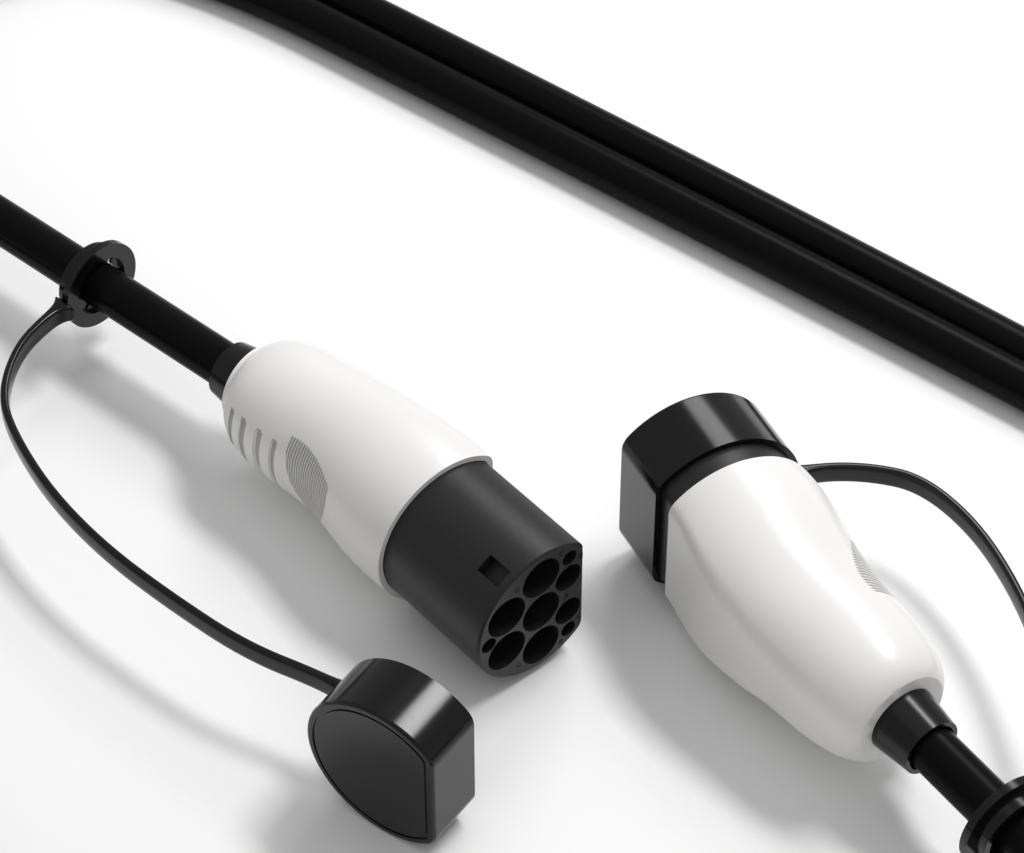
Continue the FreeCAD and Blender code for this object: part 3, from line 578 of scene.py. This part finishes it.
def ribbed_pad(material, end):
    """Height of the ribs: inside * (0.5 + 0.5 sin(2 pi (x - 7 (h - 0.015)^2) / pitch)).

    In the end's frame h is the height over the middle. The inside of the pad is where all of
    these are above zero: x + 0.0564 - 17.5 (h - 0.015)^2, -0.0310 - 25 (h - 0.0062)^2 - x,
    0.0163 - 12 (x + 0.05)^2 - h, and -y - 0.005. It fades in over a border of 0.4 mm.
    """
    step = formula(material)
    x, y, h = own_axes(material, RIM[end], HEADING[end], PAD_SIZE[end])
    bow = step("POWER", step("ABSOLUTE", step("SUBTRACT", h, REAR_EDGE[2])), 2.0)
    rear_edge = step("SUBTRACT", step("ADD", x, REAR_EDGE[0]), step("MULTIPLY", bow, REAR_EDGE[1]))
    swell = step("POWER", step("ABSOLUTE", step("SUBTRACT", h, FRONT_EDGE[2])), 2.0)
    front = step("SUBTRACT", -FRONT_EDGE[0], step("MULTIPLY", swell, FRONT_EDGE[1]))
    front_edge = step("SUBTRACT", front, x)
    arch = step("POWER", step("ABSOLUTE", step("ADD", x, TOP_EDGE[2])), 2.0)
    top_edge = step("SUBTRACT", step("SUBTRACT", TOP_EDGE[0], step("MULTIPLY", arch, TOP_EDGE[1])), h)
    under = step("SUBTRACT", step("MULTIPLY", y, -1.0), SIDE_LIMIT)
    nearest = step("MINIMUM", step("MINIMUM", rear_edge, front_edge), step("MINIMUM", top_edge, under))
    inside = material.node_tree.nodes.new("ShaderNodeMapRange")
    inside.inputs["From Max"].default_value = PAD_BORDER
    material.node_tree.links.new(nearest, inside.inputs["Value"])
    phase = step("MULTIPLY", step("SUBTRACT", x, step("MULTIPLY", bow, RIB_BOW)), 2 * math.pi / RIB_PITCH)
    wave = step("MULTIPLY_ADD", step("SINE", phase), 0.5, 0.5)
    return step("MULTIPLY", inside.outputs["Result"], wave)


print("ribs across the pad's middle:", round((REAR_EDGE[0] - FRONT_EDGE[0]) / RIB_PITCH))

# %% [markdown]
# Behind the pad are the four grip grooves of the solid. Their floors get painted shade, a darker
# grey in the colour. A point lies on a floor when it is near a groove's station, and near the middle
# of the groove in the angle round the handle, both in the bent frame of the rear.

# %% Floors of the grip grooves
GROOVES = {"plug": (0.0656, 0.0733, 0.0814, 0.0881), "connector": (0.0630, 0.0700, 0.0770, 0.0840)}
GROOVE_HALF_WIDTH = 0.0011
GROOVE_MIDDLE = math.radians(-5.0)
GROOVE_HALF_ANGLE = math.radians(32.0)


# The mask of the grooves' floors, where shade is painted into the white.
def groove_floors(material, end):
    """1 where |ahead + station - pivot| and |atan2(height, -aside) - middle| are small, else 0."""
    step = formula(material)
    origin = from_end(end, (-PIVOT[end], 0.0, 0.0))
    ahead, aside, height = own_axes(material, origin, HEADING[end] + BEND)
    away = 1.0
    for station in GROOVES[end]:
        away = step("MINIMUM", away, step("ABSOLUTE", step("ADD", ahead, station - PIVOT[end])))
    angle = step("ARCTAN2", height, step("MULTIPLY", aside, -1.0))
    round_way = step("ABSOLUTE", step("SUBTRACT", angle, GROOVE_MIDDLE))
    in_angle = step("LESS_THAN", round_way, GROOVE_HALF_ANGLE)
    return step("MULTIPLY", in_angle, step("LESS_THAN", away, GROOVE_HALF_WIDTH))


for end in RIM:
    print(end, "distances between the grooves in metres:", np.diff(GROOVES[end]).round(4))

# %% [markdown]
# The white finish joins the two. The ribs' valleys go down as a bump and get painted shade in the
# colour. The grooves' floors get painted shade three quarters as dark as the valleys. A clear coat gives the
# broad soft highlights.

# %% White finish
WHITE = (0.80, 0.79, 0.775)
# A darker white, which is painted shade in the ribs' valleys and the grooves' floors.
SHADED_WHITE = (0.30, 0.295, 0.29)
FLOOR_SHADE = 0.75


def handle_white(end):
    """White plastic with painted shade: its colour is mixed by max(rib height, 0.75 * groove floor) with a
    shaded white.
    """
    material = moulded(f"{end}_handle_white", WHITE, 0.36, grain=0.03, Coat_Weight=0.15, Coat_Roughness=0.15)
    nodes, links = material.node_tree.nodes, material.node_tree.links
    step = formula(material)
    ribs = ribbed_pad(material, end)
    bump = nodes.new("ShaderNodeBump")
    bump.invert = True
    bump.inputs["Strength"].default_value = 1.0
    bump.inputs["Distance"].default_value = RIB_DEPTH
    links.new(ribs, bump.inputs["Height"])
    links.new(bump.outputs["Normal"], nodes["grain"].inputs["Normal"])
    # This mix paints shade into the ribs' valleys and the grooves' floors.
    shade = nodes.new("ShaderNodeMix")
    shade.data_type = "RGBA"
    shade.inputs[6].default_value = (*WHITE, 1.0)
    shade.inputs[7].default_value = (*SHADED_WHITE, 1.0)
    floors = step("MULTIPLY", groove_floors(material, end), FLOOR_SHADE)
    links.new(step("MAXIMUM", ribs, floors), shade.inputs[0])
    links.new(shade.outputs[2], nodes["Principled BSDF"].inputs["Base Color"])
    return material


for end in RIM:
    dress(rear[end, "handle"], handle_white(end))
    print(end, "handle wears:", rear[end, "handle"].data.materials[0].name)

# %% [markdown]
# The other outer pieces get the black finishes. Cap and ring are one rubber moulding with the strap
# on the real object, so they share its finish.

# %% Dress the black pieces
for end in RIM:
    dress(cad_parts[f"{end}_nose"], nose_black)
    dress(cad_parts[f"{end}_cap"], cap_rubber)
    dress(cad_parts[f"{end}_strap_ring"], cap_rubber)
    dress(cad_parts[f"{end}_nose_seal"], seal_rubber)
    dress(rear[end, "gland_nut"], gland_black)
    dress(rear[end, "gland_seal"], seal_rubber)
print("pieces in the soft rubber of the caps:", cap_rubber.users)

# %% [markdown]
# ### Metal and inner pieces
# Little of the inside shows, but the pins can be seen deep in the wells. They are silver plated. The
# inner plates are pale grey plastic, and the screws bright zinc.

# %% Inner finishes
contact_silver = moulded("contact_silver", (0.62, 0.60, 0.56), 0.32, grain=0.05, Metallic=1.0)
screw_zinc = moulded("screw_zinc", (0.55, 0.56, 0.58), 0.35, grain=0.10, Metallic=1.0)
inner_grey = moulded("inner_grey", (0.42, 0.42, 0.40), 0.50)
core_brown = moulded("core_brown", (0.16, 0.07, 0.03), 0.40)
for end in RIM:
    for contact in ("l1", "l2", "l3", "n", "pe", "cp", "pp"):
        dress(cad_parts[f"{end}_contact_{contact}"], contact_silver)
    for piece in ("contact_carrier", "clamp_upper", "clamp_lower"):
        dress(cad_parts[f"{end}_{piece}"], inner_grey)
    for piece in ("carrier_screws", "clamp_screws"):
        dress(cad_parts[f"{end}_{piece}"], screw_zinc)
    dress(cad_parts[f"{end}_wires"], core_brown)
for finish in (contact_silver, screw_zinc, inner_grey, core_brown):
    print(finish.name, "on pieces:", finish.users)

# %% [markdown]
# ## Straps
# Each strap is a flat rubber tongue, 8 mm high and 3 mm thick, moulded in one with the cap and the
# ring. It swells where it runs into them. The surface is a section carried along a line: the section
# is a rounded rectangle, the line a NURBS curve through the corner points, and the thickness grows
# towards both ends.

# %% Strap surface
STRAP_HIGH = 0.0078
STRAP_THICK = 0.0032
ROOT_SWELL = 0.0035
ROOT_REACH = 0.003


def strap_mesh(name, corners, rounds=28):
    """A flat strap: |a / thick|^4 + |b / high|^4 = 1 carried along a level line.

    Points are line + a * side + b * up. The thickness gains swell * exp(-distance / 3 mm) at the
    ring's end, and half of that at the cap's end.
    """
    line = curve_points(nurbs_curve(f"{name}_line", corners))
    along = length_along(line)
    side = directions(line, along)[1]
    swell = np.exp(-along / ROOT_REACH) + 0.5 * np.exp(-(along[-1] - along) / ROOT_REACH)
    angle = np.linspace(0, 2 * np.pi, rounds, endpoint=False)
    a = np.sign(np.cos(angle)) * np.abs(np.cos(angle)) ** 0.5
    b = np.sign(np.sin(angle)) * np.abs(np.sin(angle)) ** 0.5
    across = (STRAP_THICK / 2 + ROOT_SWELL * swell)[:, None] * a
    points = line[:, None, :] + across[..., None] * side[:, None, :]
    points[..., 2] += STRAP_HIGH / 2 * b
    return tube_mesh(name, points)


print("strap section in millimetres:", STRAP_HIGH * 1000, "by", STRAP_THICK * 1000)

# %% [markdown]
# The plug's strap hangs loose with its cap, and turns with it about the cable. The connector's strap
# runs from the ring on the cable to the cap on the nose, and is fixed in the model where it lies.

# %% Straps
STRAP_CORNERS = {
    "plug": [
        (-0.1908, -0.0565, 0.0300),
        (-0.1895, -0.0654, 0.0300),
        (-0.1833, -0.0829, 0.0300),
        (-0.1672, -0.1007, 0.0300),
        (-0.1479, -0.1084, 0.0300),
        (-0.1166, -0.1146, 0.0300),
        (-0.0834, -0.1153, 0.0300),
        (-0.0510, -0.1114, 0.0300),
        (-0.0180, -0.1055, 0.0300),
        (0.0085, -0.0944, 0.0300),
        (0.0172, -0.0922, 0.0300),
    ],
    "connector": [
        (0.1974, 0.0497, 0.0336),
        (0.1982, 0.0586, 0.0336),
        (0.1935, 0.0620, 0.0336),
        (0.1780, 0.0775, 0.0336),
        (0.1560, 0.0920, 0.0336),
        (0.1300, 0.1060, 0.0336),
        (0.1020, 0.1155, 0.0336),
        (0.0760, 0.1165, 0.0336),
        (0.0610, 0.1070, 0.0336),
        (0.0490, 0.0935, 0.0336),
        (0.0457, 0.0857, 0.0336),
    ],
}
plug_strap = strap_mesh("plug_strap_soft", STRAP_CORNERS["plug"])
connector_strap = strap_mesh("connector_strap_soft", STRAP_CORNERS["connector"])
for end, strap in (("plug", plug_strap), ("connector", connector_strap)):
    dress(strap, cap_rubber)
    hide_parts(f"{end}_strap")
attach(plug_strap, "plug_cap_set")
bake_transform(connector_strap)
print("strap surfaces:", len(plug_strap.data.polygons), len(connector_strap.data.polygons))

# %% [markdown]
# ## Marks beside the wells
# Each well of the plug has a small mark that names its contact, moulded into the face. The marks are
# type set flat, made into meshes, and turned so that they read upright with the flat of the nose up.
# Their places are given in contact pitches from the middle of the face.

# %% Contact marks
MARKS = {
    "L1": (-1.33, 0.51),
    "PP": (-0.91, 1.02),
    "PE": (0.02, 0.646),
    "CP": (0.89, 1.01),
    "N": (1.30, 0.53),
    "L2": (-1.11, -0.62),
    "L3": (1.17, -0.58),
}
CONTACT_PITCH = 0.017
MARK_SIZE = 0.0026
MARK_DEPTH = 0.00004
mark_black = moulded("mark_black", (0.001, 0.001, 0.001), 0.6, Specular_IOR_Level=0.02)


def contact_mark(word, u, v):
    """A word on the plug's face: its own x runs along -z of the end, its own y along +y."""
    text = bpy.data.curves.new(f"mark_{word}", "FONT")
    text.body = word
    text.size = MARK_SIZE
    text.align_x = "CENTER"
    text.align_y = "CENTER"
    text.extrude = MARK_DEPTH
    carrier = bpy.data.objects.new("carrier", text)
    mesh = bpy.data.meshes.new_from_object(carrier)
    bpy.data.objects.remove(carrier)
    x, y, z = mesh_points(mesh).T
    local = np.c_[NOSE_REACH["plug"] + z, v * CONTACT_PITCH + y, -(u * CONTACT_PITCH + x)]
    mesh.vertices.foreach_set("co", from_end("plug", local).ravel())
    mesh.update()
    piece = linked(f"mark_{word}", mesh)
    dress(piece, mark_black)
    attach(piece, "cable_and_ends")
    return piece


marks = [contact_mark(word, *spot) for word, spot in MARKS.items()]
print("contact marks:", len(marks))

# %% [markdown]
# ## Floor and world
# A white floor catches a soft shadow, and is the pale background of every view. It lies a hair below
# the cable. The world is plain and weak: it fills the shadows and does no more.

# %% Floor and world
FLOOR_HALF = 6.0
FLOOR_BELOW = 0.0002
WORLD_STRENGTH = 0.43

floor_mesh = bpy.data.meshes.new("floor")
floor_corners = FLOOR_HALF * np.array([(-1, -1, 0), (1, -1, 0), (1, 1, 0), (-1, 1, 0)])
floor_mesh.from_pydata(floor_corners, [], [(0, 1, 2, 3)])
floor = linked("floor", floor_mesh)
floor.location.z = -FLOOR_BELOW
floor_white = bpy.data.materials.new("floor_white")
floor_white.use_nodes = True
floor_shader = floor_white.node_tree.nodes["Principled BSDF"]
floor_shader.inputs["Base Color"].default_value = (0.95, 0.95, 0.95, 1.0)
floor_shader.inputs["Roughness"].default_value = 0.9
dress(floor, floor_white)

world = bpy.data.worlds.new("studio")
world.use_nodes = True
sky = world.node_tree.nodes["Background"]
sky.inputs["Color"].default_value = (1.0, 1.0, 1.0, 1.0)
sky.inputs["Strength"].default_value = WORLD_STRENGTH
bpy.context.scene.world = world
print("floor in metres:", 2 * FLOOR_HALF, "by", 2 * FLOOR_HALF, "world strength:", WORLD_STRENGTH)

# %% [markdown]
# ## Lamps and colour
# Large lamps give the long soft highlights of a studio: one high on the far left, a long one high
# behind that draws the bright streak on the loose cap, and a wide one overhead. Each is aimed at the
# middle of the object.

# %% Lamps


def lamp(name, place, wide, deep, power):
    """An area lamp at a place, its face turned towards the origin, its wide side level."""
    data = bpy.data.lights.new(name, "AREA")
    data.shape = "RECTANGLE"
    data.size = wide
    data.size_y = deep
    data.energy = power
    obj = linked(name, data)
    obj.location = place
    x, y, z = place
    tilt = math.atan2(z, math.hypot(x, y))
    obj.rotation_euler = (math.pi / 2 - tilt, 0.0, math.atan2(-y, -x) - math.pi / 2)
    return obj


lamps = [
    lamp("high_lamp", (-0.7, 1.1, 1.25), 0.60, 0.60, 7.0),
    lamp("streak_lamp", (0.10, 0.82, 1.50), 0.75, 0.30, 16.0),
    lamp("wide_lamp", (0.1, -0.3, 1.9), 1.60, 1.60, 2.5),
]
bpy.context.scene.view_settings.view_transform = "Standard"
print("lamps:", len(lamps), "with watts in all:", sum(obj.data.energy for obj in lamps))
